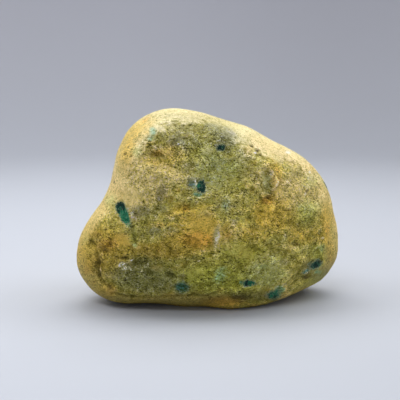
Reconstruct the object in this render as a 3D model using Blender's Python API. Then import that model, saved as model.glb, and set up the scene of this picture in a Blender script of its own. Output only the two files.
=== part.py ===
"""A jadeite boulder: one water-worn stone in a yellow skin, lying on a small worn flat.

It is a single solid, so it is a single object. Lengths are in metres. X runs to the right along
the stone's best side, Y runs away from somebody who looks at that side, and Z is up.
"""

import math

import bmesh
import bpy
import numpy as np
from mathutils import Vector, noise

# Driving dimensions
WIDTH = 0.260  # along X, between the lobe's tip and the right flank
HEIGHT = 0.189  # along Z, from the flat to the crown
DEPTH = 0.172  # along Y, from the belly to the back
FRONT_SHARE = 0.48  # of the depth, in front of the heart
HEART_HEIGHT = 0.46  # of the height: the point inside, from which the surface is measured

# The outline seen from the front, anticlockwise from the right flank.
# Each point is a share of the width from the heart, then a share of the height from the ground.
OUTLINE = [
    (0.490, 0.440),
    (0.468, 0.551),
    (0.430, 0.655),
    (0.373, 0.742),
    (0.310, 0.800),
    (0.246, 0.845),
    (0.130, 0.925),
    (0.002, 0.985),
    (-0.080, 0.997),
    (-0.150, 0.996),
    (-0.217, 0.965),
    (-0.278, 0.904),
    (-0.317, 0.817),
    (-0.339, 0.714),
    (-0.353, 0.620),
    (-0.383, 0.532),
    (-0.435, 0.440),
    (-0.485, 0.324),
    (-0.496, 0.200),
    (-0.454, 0.100),
    (-0.384, 0.030),
    (-0.290, 0.000),
    (-0.170, -0.012),
    (-0.050, -0.030),
    (0.120, -0.038),
    (0.240, -0.018),
    (0.372, 0.012),
    (0.474, 0.075),
    (0.514, 0.190),
    (0.519, 0.315),
]
OUTLINE_STEPS = 12  # points of the smooth outline between two of the points above

PEBBLE_ROUNDNESS = 2.6  # 2 is an ellipse across the depth, and more is boxier
WEAR_SHARPNESS = 10  # how crisply a worn flat meets the rounder stone around it
LEAN = 0.05  # metres back for each metre up
SWEEP = 0.07  # metres back for each metre to the right

# Flats that the river wore: compass bearing from the front, turning to the right, and tilt above
# the horizon, both in degrees, then the distance from the heart.
FLATS = {
    "front face": (2, 3, 0.0790),
    "front below the belly": (-8, -26, 0.0815),
    "right shoulder": (36, 36, 0.0980),
    "left lobe front": (-44, -4, 0.1120),
    "right flank front": (42, -6, 0.1010),
    "undercut on the right": (36, -42, 0.1040),
    "back face": (188, 6, 0.0860),
    "back of the crown": (166, 44, 0.0920),
    "back of the right flank": (136, 6, 0.1080),
    "back of the lobe": (228, 2, 0.1030),
    "back foot": (186, -38, 0.0870),
}

# Smaller forms: a path of points on the stone, how far the form spreads around the path, then
# how far it stands out, or goes in where that is negative.
FORMS = {
    "brow": (
        [
            (-0.078, -0.056, 0.150),
            (-0.058, -0.060, 0.168),
            (-0.028, -0.060, 0.176),
            (0.002, -0.058, 0.171),
            (0.028, -0.058, 0.156),
            (0.050, -0.060, 0.140),
        ],
        0.013,
        0.0046,
    ),
    "ledge under the cheek": ([(-0.066, -0.069, 0.144), (-0.030, -0.078, 0.128)], 0.010, 0.0030),
    "hollow of the face": ([(-0.028, -0.080, 0.150), (0.004, -0.080, 0.136)], 0.020, -0.0026),
    "scoop under the shoulder": ([(0.014, -0.074, 0.136), (0.038, -0.072, 0.110)], 0.017, -0.0034),
    "crescent": ([(0.054, -0.062, 0.132), (0.059, -0.064, 0.114)], 0.007, -0.0032),
    "nick below the crest": ([(0.040, -0.040, 0.158), (0.049, -0.044, 0.150)], 0.006, -0.0024),
    "dimples on the right": ([(0.090, -0.034, 0.125), (0.100, -0.031, 0.110)], 0.007, -0.0022),
    "arch over the belly": (
        [
            (-0.041, -0.083, 0.088),
            (-0.014, -0.084, 0.098),
            (0.010, -0.082, 0.094),
            (0.026, -0.080, 0.082),
        ],
        0.011,
        0.0036,
    ),
    "belly": ([(-0.018, -0.084, 0.068), (0.016, -0.082, 0.070)], 0.030, 0.0040),
    "valley under the waist": (
        [(-0.074, -0.064, 0.092), (-0.062, -0.068, 0.074), (-0.056, -0.064, 0.046)],
        0.016,
        -0.0042,
    ),
    "pit on the lobe": ([(-0.080, -0.056, 0.048), (-0.070, -0.058, 0.044)], 0.006, -0.0022),
    "groove inside the lobe": (
        [(-0.106, -0.054, 0.074), (-0.105, -0.046, 0.050), (-0.098, -0.036, 0.026)],
        0.008,
        -0.0028,
    ),
    "lip along the foot": ([(-0.084, -0.040, 0.014), (-0.010, -0.058, 0.013)], 0.009, 0.0020),
    "hollow under the lip": ([(-0.060, -0.042, 0.004), (-0.008, -0.046, 0.001)], 0.013, -0.0036),
    "toe": ([(0.028, -0.052, 0.006), (0.054, -0.046, 0.007)], 0.016, 0.0040),
    "right flank's furrow": ([(0.044, -0.070, 0.060), (0.058, -0.060, 0.028)], 0.014, -0.0024),
    "keel on the right": (
        [(0.124, -0.004, 0.044), (0.102, -0.028, 0.036), (0.074, -0.034, 0.014)],
        0.011,
        0.0030,
    ),
    "back scoop": ([(0.052, 0.084, 0.128), (0.030, 0.086, 0.096)], 0.034, -0.0060),
    "back swelling": ([(-0.048, 0.084, 0.066), (-0.010, 0.086, 0.058)], 0.036, 0.0040),
    "back groove": (
        [(-0.060, 0.076, 0.132), (-0.020, 0.086, 0.118), (0.004, 0.088, 0.090)],
        0.011,
        -0.0034,
    ),
    "back ledge": ([(0.070, 0.074, 0.070), (0.036, 0.082, 0.046)], 0.012, 0.0030),
    "saddle on the crown": ([(0.010, -0.010, 0.188), (0.018, 0.050, 0.176)], 0.024, -0.0030),
}
FORMS_DEPTH_SHARE = 0.5  # of the distance along the depth that counts towards a form's spread

# Low waves of the whole surface: wavelength, then height
SWELLS = [(0.060, 0.0020), (0.027, 0.0009), (0.013, 0.00035)]
SWELL_SHIFT = Vector((3.1, 7.7, 1.9))  # which part of the endless wave field the stone lies in

RING_CUTS = 27  # cuts across each side of the cube that the stone's mesh starts from
FOOT_ROUNDING = 0.0030  # how softly the stone meets the ground around its flat
FOOT_WEAR = 0.0008  # the last of the foot, cut off level


def remove_startup_objects():
    for obj in list(bpy.data.objects):
        bpy.data.objects.remove(obj)


def skin_material():
    """The yellow weathered skin."""
    material = bpy.data.materials.new("jadeite_skin")
    material.use_nodes = True
    shader = material.node_tree.nodes["Principled BSDF"]
    shader.inputs["Base Color"].default_value = (0.40, 0.31, 0.10, 1.0)
    shader.inputs["Roughness"].default_value = 0.62
    shader.inputs["Metallic"].default_value = 0.0
    return material


def smooth_loop(points, steps):
    """A closed Catmull-Rom curve through the points."""
    curve = []
    for i in range(len(points)):
        before, start, end, after = (np.array(points[(i + k) % len(points)]) for k in (-1, 0, 1, 2))
        for t in np.linspace(0, 1, steps, endpoint=False):
            curve.append(
                0.5
                * (
                    2 * start
                    + (end - before) * t
                    + (2 * before - 5 * start + 4 * end - after) * t**2
                    + (3 * start - before - 3 * end + after) * t**3
                )
            )
    return np.array(curve)


def outline_reach():
    """A function that gives the outline's distance from the heart at an angle in the XZ plane."""
    loop = smooth_loop(OUTLINE, OUTLINE_STEPS)
    x = loop[:, 0] * WIDTH
    z = (loop[:, 1] - HEART_HEIGHT) * HEIGHT
    angles = np.arctan2(z, x)
    reaches = np.hypot(x, z)
    order = np.argsort(angles)

    def reach(angle):
        return np.interp(angle, angles[order], reaches[order], period=2 * math.pi)

    return reach


def bearing(compass, tilt):
    """The unit vector of a compass bearing from the front and a tilt above the horizon."""
    compass, tilt = math.radians(compass), math.radians(tilt)
    return Vector(
        (
            math.sin(compass) * math.cos(tilt),
            -math.cos(compass) * math.cos(tilt),
            math.sin(tilt),
        )
    )


def stone_reach(direction, outline, flats):
    """How far the stone reaches from its heart in a direction, before its smaller forms."""
    across = math.hypot(direction.x, direction.z)
    side = DEPTH * (FRONT_SHARE if direction.y < 0 else 1 - FRONT_SHARE)
    wide = across / outline(math.atan2(direction.z, direction.x))
    deep = abs(direction.y) / side
    pebble = (wide**PEBBLE_ROUNDNESS + deep**PEBBLE_ROUNDNESS) ** (1 / PEBBLE_ROUNDNESS)
    worn = pebble**WEAR_SHARPNESS
    for normal, distance in flats:
        worn += max(0.0, direction.dot(normal) / distance) ** WEAR_SHARPNESS
    return worn ** (-1 / WEAR_SHARPNESS)


def distance_to_path(point, path):
    """The distance from a point to a line through the path's points."""
    nearest = math.inf
    for start, end in zip(path, path[1:]):
        along = end - start
        share = min(max((point - start).dot(along) / along.length_squared, 0.0), 1.0)
        gap = point - start - along * share
        gap.y *= FORMS_DEPTH_SHARE
        nearest = min(nearest, gap.length)
    return nearest


def relief(point, forms):
    """How far the smaller forms and the low waves stand out at a point."""
    height = 0.0
    for path, spread, stands_out in forms:
        height += stands_out * math.exp(-((distance_to_path(point, path) / spread) ** 2))
    for wavelength, swell in SWELLS:
        height += swell * noise.noise(point / wavelength + SWELL_SHIFT)
    return height


def shape_stone(mesh):
    """Moves every vertex of a ball about the origin to the stone's surface."""
    outline = outline_reach()
    flats = [(bearing(compass, tilt), distance) for compass, tilt, distance in FLATS.values()]
    forms = [([Vector(p) for p in path], spread, out) for path, spread, out in FORMS.values()]
    heart = Vector((0, 0, HEART_HEIGHT * HEIGHT))
    for vertex in mesh.verts:
        direction = vertex.co.normalized()
        point = direction * stone_reach(direction, outline, flats)
        point.y += LEAN * point.z + SWEEP * point.x
        point += heart
        vertex.co = point + direction * relief(point, forms)


def wear_the_foot_flat(mesh):
    """Rounds what reaches below the ground up to it, then cuts the last of it level."""
    for vertex in mesh.verts:
        vertex.co.z = (vertex.co.z + math.hypot(vertex.co.z, FOOT_ROUNDING)) / 2
    cut = bmesh.ops.bisect_plane(
        mesh,
        geom=list(mesh.verts) + list(mesh.edges) + list(mesh.faces),
        plane_co=(0, 0, FOOT_WEAR),
        plane_no=(0, 0, -1),
        clear_outer=True,
    )
    rim = [item for item in cut["geom_cut"] if isinstance(item, bmesh.types.BMEdge)]
    bmesh.ops.contextual_create(mesh, geom=rim)


def fit_to_size(mesh):
    """Brings the stone's box to its size, middle over the origin, with the flat on the ground."""
    low = np.array([min(vertex.co[axis] for vertex in mesh.verts) for axis in range(3)])
    high = np.array([max(vertex.co[axis] for vertex in mesh.verts) for axis in range(3)])
    middle = Vector(((low[0] + high[0]) / 2, (low[1] + high[1]) / 2, low[2]))
    bmesh.ops.translate(mesh, verts=mesh.verts, vec=-middle)
    bmesh.ops.scale(mesh, verts=mesh.verts, vec=Vector(np.array((WIDTH, DEPTH, HEIGHT)) / (high - low)))


def boulder():
    shape = bmesh.new()
    bmesh.ops.create_cube(shape, size=1.0)
    bmesh.ops.subdivide_edges(shape, edges=shape.edges, cuts=RING_CUTS, use_grid_fill=True)
    shape_stone(shape)
    wear_the_foot_flat(shape)
    fit_to_size(shape)
    bmesh.ops.recalc_face_normals(shape, faces=shape.faces)
    mesh = bpy.data.meshes.new("boulder")
    shape.to_mesh(mesh)
    shape.free()
    mesh.shade_smooth()
    mesh.materials.append(skin_material())
    obj = bpy.data.objects.new("boulder", mesh)
    bpy.context.scene.collection.objects.link(obj)
    return obj


remove_startup_objects()
boulder()
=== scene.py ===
import math

import bmesh
import bpy
import numpy as np
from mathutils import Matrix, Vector, noise


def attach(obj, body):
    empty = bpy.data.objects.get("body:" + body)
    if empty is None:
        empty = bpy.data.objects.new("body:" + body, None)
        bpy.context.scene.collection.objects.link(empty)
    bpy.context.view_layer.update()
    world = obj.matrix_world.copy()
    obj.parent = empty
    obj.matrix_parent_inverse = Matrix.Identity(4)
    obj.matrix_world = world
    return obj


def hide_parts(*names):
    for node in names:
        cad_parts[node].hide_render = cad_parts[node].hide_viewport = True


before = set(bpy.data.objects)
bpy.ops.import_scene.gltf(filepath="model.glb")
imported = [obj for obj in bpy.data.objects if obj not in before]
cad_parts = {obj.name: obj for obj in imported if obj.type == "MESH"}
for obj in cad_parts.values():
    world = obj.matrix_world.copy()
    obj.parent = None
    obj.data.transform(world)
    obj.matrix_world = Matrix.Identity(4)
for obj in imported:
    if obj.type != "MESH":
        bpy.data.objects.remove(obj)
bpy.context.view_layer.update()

# The camera. The other sides of the stone are looked at in the same way, from their own bearing.
look = {
    "target": Vector((-0.0095, 0.0, 0.0990)),
    "distance": 0.934,
    "elevation": 9,  # degrees above the floor
    "lens": 85,
    "sensor": 36,
    "picture": 400,  # picture steps each way: a place on the stone is (across, down) in these steps
}
pictureScale = look["picture"] * look["lens"] / look["sensor"]
step = look["distance"] / pictureScale  # one picture step at the stone, about a millimetre


def viewFrom(bearing):
    # eye, right, up and back of the view from a bearing: 0 in front, 90 on the right, 180 behind
    turn, tilt = math.radians(bearing), math.radians(look["elevation"])
    back = Vector((math.sin(turn) * math.cos(tilt), -math.cos(turn) * math.cos(tilt), math.sin(tilt)))
    aim = (-back).to_track_quat("-Z", "Y")
    eye = look["target"] + back * look["distance"]
    return eye, aim @ Vector((1, 0, 0)), aim @ Vector((0, 1, 0)), back


def inPicture(points, bearing):
    # where points of the stone fall in the picture from that bearing
    eye, right, up, back = viewFrom(bearing)
    gap = points - np.array(eye)
    deep = -gap @ np.array(back)
    middle = look["picture"] / 2
    across = middle + gap @ np.array(right) / deep * pictureScale
    down = middle - gap @ np.array(up) / deep * pictureScale
    return across, down


def smoothStep(low, high, value):
    # 0 at low and 1 at high, which may be the smaller
    t = np.clip((value - low) / (high - low), 0, 1)
    return t * t * (3 - 2 * t)


def onlySelect(obj):
    bpy.ops.object.select_all(action="DESELECT")
    obj.select_set(True)
    bpy.context.view_layer.objects.active = obj


def applyModifier(obj, name, kind, **settings):
    modifier = obj.modifiers.new(name, kind)
    for key, value in settings.items():
        setattr(modifier, key, value)
    onlySelect(obj)
    bpy.ops.object.modifier_apply(modifier=name)


def positions(obj):
    flat = np.empty(len(obj.data.vertices) * 3)
    obj.data.vertices.foreach_get("co", flat)
    return flat.reshape(-1, 3)


def normals(obj):
    flat = np.empty(len(obj.data.vertices) * 3)
    obj.data.vertex_normals.foreach_get("vector", flat)
    return flat.reshape(-1, 3)


def waves(points, size, shift=0.0):
    # soft noise about 0 at each point, with lumps of that size
    return np.array([noise.noise(Vector(p) / size + Vector((shift, shift, shift))) for p in points])


# The stone's mesh: the CAD facets are smoothed, then remeshed into even small faces
stoneMesh = {
    "name": "boulder_skin",
    "weld": 0.00001,
    "smoothing": 2,
    "voxel": 0.00143,
    "calming": 4,  # rounds
    "swell": 0.0004,  # what the smoothing took off
    "recess": 0.0008,  # how far the rough face lies inside the worn skin
    "foot": 0.0006,  # what lies lower is made level
}

# Where the worn skin ends on the front and the rough face begins, anticlockwise in picture steps
roughEdge = [
    (145, 144), (139, 152), (134, 160), (130, 172), (126, 184), (118, 197), (109, 209), (101, 221),
    (93, 232), (88, 244), (90, 258), (95, 272), (102, 283), (112, 292), (130, 296), (170, 296),
    (207, 296), (222, 291), (231, 296), (240, 308), (268, 306), (285, 296), (300, 287), (314, 278),
    (322, 268), (326, 255), (325, 240), (325, 222), (322, 205), (318, 190), (312, 176), (302, 166),
    (288, 162), (272, 158), (258, 157), (245, 150), (234, 141), (224, 131), (214, 124), (205, 122),
    (180, 122.5), (162, 127), (152, 134),
]

# Places on the rough face that stayed smoother: across, down, width, height, turn
smoothPlaces = {
    "cheek": (130, 197, 22, 24, 10),
    "brown patch on the lobe": (122, 240, 22, 18, 0),
    "belly": (201, 229, 34, 34, 0),
    "green hollow": (240, 252, 34, 18, -10),
    "grey field": (157, 269, 18, 9, 0),
    "below the ledge": (196, 273, 22, 12, 0),
    "brow's middle": (208, 151, 14, 11, 0),
}

# How strong the grain is, with its places given in the same way
grainLook = {
    "front": 0.84,  # 1 on the other sides
    "brow": (192, 150, 96, 50, 0),
    "more on the brow": 0.28,
    "shoulder": (272, 148, 90, 26, -28),
    "less on the shoulder": 0.35,
    "less in smooth places": 0.5,
    "on the worn skin": 0.72,
    "less on the crown": 0.35,
    "crown": (0.155, 0.175),  # the heights where it starts and is full
}

# Small forms seen from the front: a path in picture steps, its width in steps and how far it stands
# out in millimetres, or goes in where that is negative
frontForms = {
    "shoulder pit 1": ([(251, 146), (253, 146)], 1.5, -1.6),
    "shoulder pit 2": ([(256, 149), (259, 151)], 1.8, -1.9),
    "shoulder pit 3": ([(260, 153), (261, 154)], 1.3, -1.4),
    "fleck between the pits": ([(255, 153), (256, 153)], 1.2, 1.0),
    "crescent": ([
        (269, 168), (271, 171), (274, 176.5), (277, 181.5), (276.5, 186), (272, 190), (270, 195),
    ], 1.7, 2.4),
    "hollow of the crescent": ([(266, 172), (269, 178), (271.5, 183), (268, 190)], 2.6, -1.1),
    "foot of the crescent": ([(262, 200), (271, 197)], 3.0, -1.4),
    "flank pit": ([(306, 188.5), (309, 194)], 1.6, -1.5),
    "flank speckle 1": ([(297, 173), (302, 175)], 3.0, -1.1),
    "flank speckle 2": ([(288, 178), (292, 180)], 2.5, -1.1),
    "pale block": ([(285, 246), (294, 249)], 4.0, 1.3),
    "notch by the block": ([(294, 243), (299, 244), (302, 248)], 1.9, -1.5),
    "dark band": ([(266, 243), (273, 248), (280, 254)], 4.0, -1.1),
    "ledge": ([(166, 267), (176, 271.5), (181, 273.5), (186, 268.5), (192, 263), (199, 261)], 1.6, 1.5),
    "under the ledge": ([(168, 276.5), (180, 278.5), (186, 277)], 3.2, -1.4),
    "belly crack": ([(184, 235.5), (189, 236.5), (194, 238), (198.5, 241.5)], 1.0, -0.8),
    "arch": ([(172, 221), (178, 215), (187, 211), (197, 210), (207, 212), (215, 217), (220, 224)], 4.2, 1.5),
    "over the arch": ([(184, 208), (196, 206), (208, 207.5), (219, 212)], 3.4, -1.2),
    "pale streak": ([(222, 221), (219.5, 233), (216, 246), (214, 255)], 2.0, 0.8),
    "lobe groove": ([(91, 242), (95, 251), (97.5, 261), (97, 271), (100, 280), (108, 288)], 2.3, -2.1),
    "line in the groove": ([(100.5, 266), (100.5, 275)], 0.9, 1.1),
    "lobe pit 1": ([(100, 249), (106, 252)], 2.4, -1.4),
    "lobe pit 2": ([(107, 244), (110, 244)], 1.8, -1.1),
    "over the crystals": ([(117, 258), (126, 258)], 1.8, -1.1),
    "dark crystals": ([(135, 263), (145, 263)], 2.6, -1.6),
    "white crystals": ([(119, 265), (131, 261)], 1.8, 0.8),
    "brown pit": ([(151, 154), (161, 155)], 2.4, -1.6),
    "olive pit": ([(149, 147), (144, 157)], 4.0, -1.3),
    "cream ledge 1": ([(140, 168), (152, 165)], 3.0, 1.6),
    "cream ledge 2": ([(158, 172), (169, 176)], 3.4, 1.3),
    "grey groove": ([(160, 192), (158, 208)], 3.0, -1.8),
    "speckled hollow": ([(134, 215), (142, 222)], 5.0, -1.1),
    "valley": ([(131, 222), (135, 240)], 2.8, -1.4),
    "lip line": ([(112, 293.5), (130, 297), (170, 296.5), (205, 296), (222, 291)], 1.6, -1.1),
    "first teal": ([(120, 205), (127, 219)], 3.2, -1.4),
    "second teal": ([(200, 182), (199, 190)], 2.8, -1.4),
    "dark teal by the foot": ([(178, 289), (187, 288)], 3.6, -1.1),
    "long teal": ([(243, 284), (252, 284)], 2.4, -1.1),
    "foot teal": ([(268, 297), (278, 292)], 3.0, -1.3),
    "flank teal": ([(310, 268), (321, 263)], 2.8, -1.3),
    "black eye": ([(220, 148), (222, 148)], 2.4, -1.6),
    "grey notch on the brow": ([(209, 125), (212, 127)], 1.8, -1.3),
    "rind pit 1": ([(123.5, 154), (125, 154)], 1.0, -1.3),
    "rind pit 2": ([(130.5, 156), (131, 156)], 1.0, -1.1),
    "rind pit 3": ([(128, 147), (128.5, 147)], 0.9, -1.0),
    "waist pit": ([(114, 181), (114, 183)], 1.2, -1.3),
}

# Small forms of the other sides, each in the picture from that side
rightForms = {
    "right dent": ([(241, 196), (252, 216)], 9.0, -1.6),
    "right scar": ([(205, 236), (214, 249), (219, 262)], 3.6, -1.0),
    "right pit 1": ([(222, 168), (224, 169)], 1.6, -1.5),
    "right pit 2": ([(230, 173), (231, 173)], 1.2, -1.2),
    "right pit 3": ([(262, 246), (264, 248)], 1.8, -1.4),
}
backForms = {
    "back dent": ([(196, 162), (214, 168), (232, 160)], 9.0, -1.8),
    "back ledge": ([(250, 214), (266, 226), (274, 244)], 3.0, 1.3),
    "under the back ledge": ([(245, 219), (260, 232), (268, 249)], 4.0, -1.3),
    "back pit 1": ([(150, 180), (152, 181)], 1.8, -1.6),
    "back pit 2": ([(158, 187), (159, 188)], 1.3, -1.3),
    "back pit 3": ([(286, 143), (288, 144)], 1.6, -1.4),
    "back scar": ([(122, 214), (129, 230), (130, 250)], 4.0, -1.0),
    "low back hollow": ([(196, 262), (214, 268)], 7.0, -1.5),
}
leftForms = {
    "left dent": ([(146, 246), (160, 260)], 9.0, -1.5),
    "left scar": ([(140, 194), (152, 203), (166, 209)], 4.0, -1.0),
    "left pit 1": ([(180, 168), (182, 169)], 1.6, -1.5),
    "left pit 2": ([(188, 175), (189, 175)], 1.2, -1.2),
    "left pit 3": ([(176, 278), (178, 279)], 1.7, -1.4),
}

# Noise that roughens the face, coarse to fine, and a little that lies all over the stone: kind, size
# and height in millimetres
faceLayers = [
    ("CLOUDS", 24.0, 7.5),
    ("CLOUDS", 10.0, 4.0),
    ("VORONOI", 8.0, -1.6),
    ("CLOUDS", 4.6, 1.0),
    ("VORONOI", 3.6, -0.4),
]
allOverLayers = [
    ("CLOUDS", 16.0, 0.6),
    ("CLOUDS", 5.0, 0.3),
]


def evenStone():
    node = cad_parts["boulder"]
    stone = bpy.data.objects.new(stoneMesh["name"], node.data.copy())
    bpy.context.scene.collection.objects.link(stone)
    stone.data.materials.clear()
    onlySelect(stone)
    bpy.ops.object.mode_set(mode="EDIT")
    bpy.ops.mesh.select_all(action="SELECT")
    bpy.ops.mesh.remove_doubles(threshold=stoneMesh["weld"])
    bpy.ops.mesh.tris_convert_to_quads()
    bpy.ops.object.mode_set(mode="OBJECT")
    levels = stoneMesh["smoothing"]
    applyModifier(stone, "Smooth facets", "SUBSURF", levels=levels, render_levels=levels)
    applyModifier(stone, "Even faces", "REMESH", mode="VOXEL", voxel_size=stoneMesh["voxel"])
    applyModifier(stone, "Calm steps", "SMOOTH", factor=0.5, iterations=stoneMesh["calming"])
    applyModifier(stone, "Swell", "DISPLACE", strength=stoneMesh["swell"], mid_level=0.0)
    bpy.ops.object.shade_smooth()
    return stone


def edgeDistance(across, down, edge):
    # how far inside a closed edge each place is, negative outside
    corners = np.array(edge, float)
    nearest = np.full(len(across), np.inf)
    inside = np.zeros(len(across), bool)
    for (x0, y0), (x1, y1) in zip(corners, np.roll(corners, -1, axis=0)):
        along = np.array((x1 - x0, y1 - y0))
        t = np.clip(((across - x0) * along[0] + (down - y0) * along[1]) / (along @ along), 0, 1)
        nearest = np.minimum(nearest, np.hypot(across - x0 - t * along[0], down - y0 - t * along[1]))
        crosses = (y0 > down) != (y1 > down)
        if y1 != y0:
            inside ^= crosses & (across < x0 + (down - y0) / (y1 - y0) * (x1 - x0))
    return np.where(inside, nearest, -nearest)


def layPath(points, across, down, hidden, path, apart=4.0):
    # a path drawn in the picture, laid on the surface with a point every few steps
    laid = []
    for (x0, y0), (x1, y1) in zip(path, path[1:]):
        count = max(1, round(math.hypot(x1 - x0, y1 - y0) / apart))
        for t in np.linspace(0, 1, count + 1):
            away = np.hypot(across - x0 - t * (x1 - x0), down - y0 - t * (y1 - y0)) + hidden
            laid.append(points[away.argmin()])
    return laid


def pathDistance(points, path):
    nearest = np.full(len(points), np.inf)
    for start, end in zip(path, path[1:]):
        along = end - start
        t = np.clip((points - start) @ along / max(along @ along, 1e-12), 0, 1)
        nearest = np.minimum(nearest, np.linalg.norm(points - start - t[:, None] * along, axis=1))
    return nearest


def ovalDistance(across, down, x, y, wide, high, turn):
    # 0 at the middle of an oval place and 1 at its edge; a turn is anticlockwise, in degrees
    c, s = math.cos(math.radians(turn)), math.sin(math.radians(turn))
    u = ((across - x) * c - (down - y) * s) / (wide / 2)
    v = ((across - x) * s + (down - y) * c) / (high / 2)
    return np.hypot(u, v)


def facing(stone, bearing, low=-0.08, high=0.16):
    # 1 where the surface faces that bearing, fading to 0 past its outline
    back = np.array(viewFrom(bearing)[3])
    return smoothStep(low, high, normals(stone) @ back)


def skewed(points):
    # leant over, so that the straight lines of the noise's own grid don't show
    return points + points[:, [1, 2, 0]] * 0.7


def frontShare(stone):
    # how far the front's own pattern reaches round the sides, with a soft uneven end
    points = positions(stone)
    uneven = waves(points, 0.03, 2.0) + waves(points, 0.012, 4.0) * 0.5
    reach = smoothStep(0.05, -0.03, points[:, 1] + uneven * 0.05)
    return np.maximum(reach, facing(stone, 0, -0.35 + uneven * 0.3, 0.02 + uneven * 0.1))


def frontPlaces(stone, wander=8, lumps=0.02):
    # where each point falls in the front picture, moved about on the sides, which turn away from it
    points = positions(stone)
    across, down = inPicture(points, 0)
    turned = (1 - facing(stone, 0, 0.1, 0.4)) * smoothStep(0.4, 0.8, np.abs(normals(stone)[:, 0]))
    across += waves(points, lumps, 6.0) * turned * wander
    down += waves(points, lumps, 11.0) * turned * wander
    return across, down


def bulge(stone, rounds):
    # how far the surface stands out of its own smoothed shape
    calm = stone.copy()
    calm.data = stone.data.copy()
    bpy.context.scene.collection.objects.link(calm)
    applyModifier(calm, "Calm", "SMOOTH", factor=0.5, iterations=rounds)
    height = ((positions(stone) - positions(calm)) * normals(stone)).sum(axis=1)
    bpy.data.objects.remove(calm)
    return height


def weightGroup(stone, name, weights):
    group = stone.vertex_groups.new(name=name)
    for index, weight in enumerate(weights):
        if weight > 0.002:  # less wouldn't show
            group.add([index], float(weight), "REPLACE")
    return group.name


def keepAttribute(stone, name, values):
    attribute = stone.data.attributes.new(name, "FLOAT", "POINT")
    attribute.data.foreach_set("value", values.astype(np.float32))


def texture(kind, size):
    made = bpy.data.textures.new(f"{kind.lower()} {size}", kind)
    made.noise_scale = size
    if kind == "CLOUDS":
        made.noise_depth = 2
    return made


def roughShare(stone, seen, ofFront):
    # 1 on the rough face and 0 on the worn skin: by the edge in front, by noise and rims elsewhere
    points = positions(stone)
    across, down = seen
    ragged = waves(points, 0.012) * 7 + waves(points, 0.004, 5.0) * 4
    front = smoothStep(-4.0, 6.0, edgeDistance(across, down, roughEdge) + ragged)
    for place in smoothPlaces.values():
        front *= 1 - 0.6 * smoothStep(1.1, 0.5, ovalDistance(across, down, *place))
    rims = bulge(stone, 260) * 1000
    points = skewed(points)
    elsewhere = waves(points, 0.06, 9.0) * 1.1 + waves(points, 0.02, 3.0) * 0.5 - rims * 0.35
    return front * ofFront + smoothStep(-0.15, 0.35, elsewhere) * (1 - ofFront)


def grainShare(stone, seen, ofFront, rough):
    # how strong the grain is: calmer in the smooth places and on the worn skin, stronger on the brow
    across, down = seen
    brow = smoothStep(1.3, 0.5, ovalDistance(across, down, *grainLook["brow"]))
    shoulder = smoothStep(1.4, 0.6, ovalDistance(across, down, *grainLook["shoulder"]))
    front = grainLook["front"] + grainLook["more on the brow"] * brow
    front *= 1 - grainLook["less on the shoulder"] * shoulder
    for place in smoothPlaces.values():
        smooth = smoothStep(1.6, 0.2, ovalDistance(across, down, *place))
        front *= 1 - grainLook["less in smooth places"] * smooth
    crown = smoothStep(*grainLook["crown"], positions(stone)[:, 2])
    worn = grainLook["on the worn skin"]
    byPlace = front * ofFront + 1 - ofFront
    return byPlace * (worn + (1 - worn) * rough) * (1 - grainLook["less on the crown"] * crown)


def displace(stone, name, weights, strength):
    # moves each point out by the strength times its weight
    group = weightGroup(stone, name, weights)
    applyModifier(stone, name, "DISPLACE", strength=strength, mid_level=0.0, vertex_group=group)
    stone.vertex_groups.remove(stone.vertex_groups[group])


def shapeForms(stone, forms, bearing):
    points = positions(stone)
    across, down = inPicture(points, bearing)
    hidden = (1 - facing(stone, bearing)) * look["picture"]
    height = np.zeros(len(points))
    for path, wide, out in forms.values():
        away = pathDistance(points, layPath(points, across, down, hidden, path))
        height += out * np.exp(-((away / (wide * step)) ** 2))
    most = np.abs(height).max()
    for name, sign in (("Forms in", -1), ("Forms out", 1)):
        displace(stone, name, np.clip(height * sign, 0, None) / most, sign * most / 1000)


def roughen(stone, layers, weights):
    group = weightGroup(stone, "Rough", weights)
    for kind, size, height in layers:
        applyModifier(
            stone,
            "Roughen",
            "DISPLACE",
            texture=texture(kind, size / 1000),
            strength=height / 1000,
            mid_level=0.5,
            vertex_group=group,
        )
    stone.vertex_groups.remove(stone.vertex_groups[group])


def levelFoot(stone):
    # the flat that it lies on, made level again
    onlySelect(stone)
    bpy.ops.object.mode_set(mode="EDIT")
    bpy.ops.mesh.select_all(action="DESELECT")
    mesh = bmesh.from_edit_mesh(stone.data)
    for vertex in mesh.verts:
        vertex.select_set(vertex.co.z < stoneMesh["foot"])
    bmesh.update_edit_mesh(stone.data)
    bpy.ops.transform.resize(value=(1, 1, 0), center_override=(0, 0, 0))
    bpy.ops.object.mode_set(mode="OBJECT")


def keepBulge(stone, name, rounds, span):
    # 0 in a hollow, 0.5 on even ground and 1 on a bump, with that many millimetres from 0 to 1
    keepAttribute(stone, name, np.clip(0.5 + bulge(stone, rounds) * 1000 / span, 0, 1))


stone = evenStone()
print("stone remeshed:", len(stone.data.polygons), "faces")
aboveFoot = smoothStep(0.0008, 0.005, positions(stone)[:, 2])  # 0 on the flat
ofFront = frontShare(stone)
seen = frontPlaces(stone)
rough = roughShare(stone, seen, ofFront)
for bearing, forms in ((0, frontForms), (90, rightForms), (180, backForms), (270, leftForms)):
    shapeForms(stone, forms, bearing)
print("forms shaped")
displace(stone, "Recess", rough * aboveFoot, -stoneMesh["recess"])
lowDown = smoothStep(0.11, 0.05, positions(stone)[:, 2])
roughen(stone, faceLayers, rough * aboveFoot * (0.6 + 0.15 * lowDown))  # a little rougher low down
roughen(stone, allOverLayers, aboveFoot)
levelFoot(stone)
keepAttribute(stone, "rough", rough)
keepAttribute(stone, "grain", grainShare(stone, seen, ofFront, rough))
# hollows and bumps, kept for painted shade in the hollows and painted light on the bumps
keepBulge(stone, "cavity", 14, 1.4)
keepBulge(stone, "hollow", 90, 5.0)
print("surface roughened")


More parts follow.
